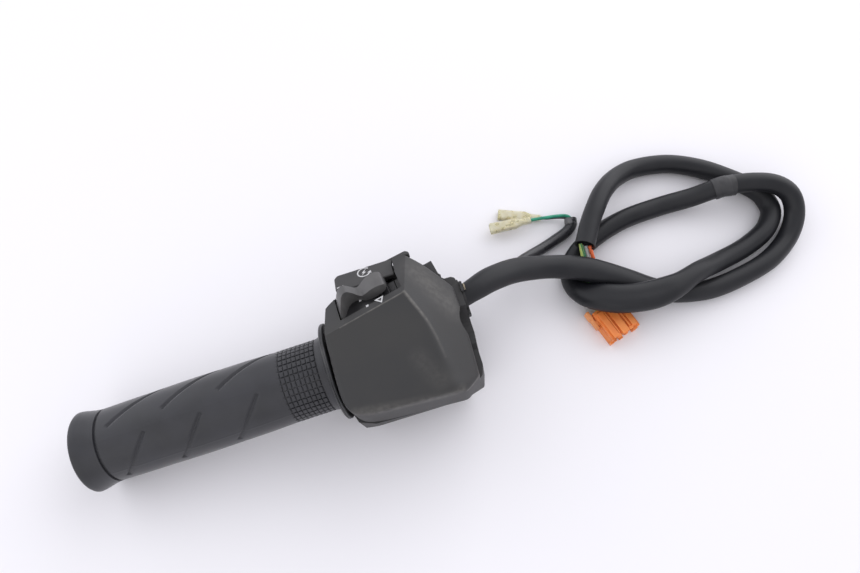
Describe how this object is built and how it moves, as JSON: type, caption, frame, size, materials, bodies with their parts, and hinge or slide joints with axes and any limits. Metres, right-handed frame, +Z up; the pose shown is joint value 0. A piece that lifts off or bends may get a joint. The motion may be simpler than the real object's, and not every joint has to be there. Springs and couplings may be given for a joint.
{
  "type": "motorcycle throttle grip",
  "caption": "Twist throttle grip with a two-shell switch housing, start and stop rocker, hazard slider and coiled wiring harness ending in a plug and spade terminals",
  "frame": {"origin": "centre of the footprint of grip and housing, on the table they lie on", "axes": "+X runs level below the handle from the open outer end to the harness outlet, +Y across it toward the side with the switches, +Z up off the table; the bar axis climbs 6.7 degrees toward +X"},
  "size_m": [0.3877, 0.1116, 0.065],
  "materials": {
    "housing_plastic": "fine moulded grain, worn paler on the ridges",
    "front_plastic": "fine moulded grain",
    "grip_rubber": "satin rubber with moulded grooves",
    "tube_plastic": "smooth black nylon",
    "rocker_plastic": "satin black with a white printed mark",
    "switch_black": "smooth black",
    "slider_grey": "smooth grey",
    "carrier_plastic": "smooth black",
    "steel": "zinc plated",
    "contact_metal": "plain",
    "screw_brass": "dull",
    "seal_rubber": "soft black",
    "sheath_vinyl": "soft satin vinyl tubing",
    "branch_vinyl": "shiny vinyl tubing",
    "tape": "wrinkled black tape",
    "clear_sleeve": "cloudy grey shrink",
    "wire_yellow_green": "yellow green insulation",
    "wire_green_red": "green insulation with a red stripe",
    "wire_white": "pale grey insulation",
    "wire_orange": "orange red insulation",
    "wire_green": "green insulation",
    "wire_black": "black insulation",
    "plug_orange": "orange moulded nylon",
    "latch_orange": "paler orange nylon",
    "sleeve_yellowed": "yellowed clear vinyl"
  },
  "bodies": {
    "housing": {"rear_shell": "housing_plastic", "front_shell": "front_plastic", "shell_screws": "steel", "locating_pin": "steel", "throttle_cable_guides": "carrier_plastic", "rocker_pivot_pin": "steel", "start_stop_switch_body": "carrier_plastic", "start_stop_contacts": "contact_metal", "hazard_switch_body": "carrier_plastic", "hazard_contacts": "contact_metal", "switch_body_screws": "steel", "harness_grommet": "seal_rubber", "harness_clamp": "carrier_plastic", "harness_clamp_screw": "screw_brass", "harness_sheath": "sheath_vinyl", "tape_band": "tape", "branch_sheath": "branch_vinyl", "branch_end_sleeve": "clear_sleeve", "lead_yellow_green": "wire_yellow_green", "lead_green_red": "wire_green_red", "lead_white": "wire_white", "lead_orange": "wire_orange", "spur_lead_green": "wire_green", "spur_lead_black": "wire_black", "main_plug": "plug_orange", "plug_latch": "latch_orange", "plug_terminals": "contact_metal", "spade_sleeves": "sleeve_yellowed", "spade_terminals": "contact_metal"},
    "throttle": {"rubber_grip": "grip_rubber", "throttle_tube": "tube_plastic"},
    "rocker": {"start_stop_rocker": "rocker_plastic"},
    "hazard_slider": {"hazard_slider_base": "switch_black", "hazard_thumb_pad": "slider_grey"}
  },
  "joints": [
    {"name": "throttle_twist", "type": "hinge", "parent": "housing", "child": "throttle", "pos_m": [0.03611, -0.005, 0.03392], "axis": [0.9932, 0, 0.1167], "range_deg": [0, 75]},
    {"name": "start_stop_rock", "type": "hinge", "parent": "housing", "child": "rocker", "pos_m": [0.05533, 0.02789, 0.04175], "axis": [0.0548, 0.8829, -0.4663], "range_deg": [-4.5, 4.5], "stiffness_Nm_per_rad": 0.3},
    {"name": "hazard_slide", "type": "slide", "parent": "housing", "child": "hazard_slider", "axis": [0.9641, 0.1695, 0.2045], "range_m": [0, 0.0048]}
  ]
}
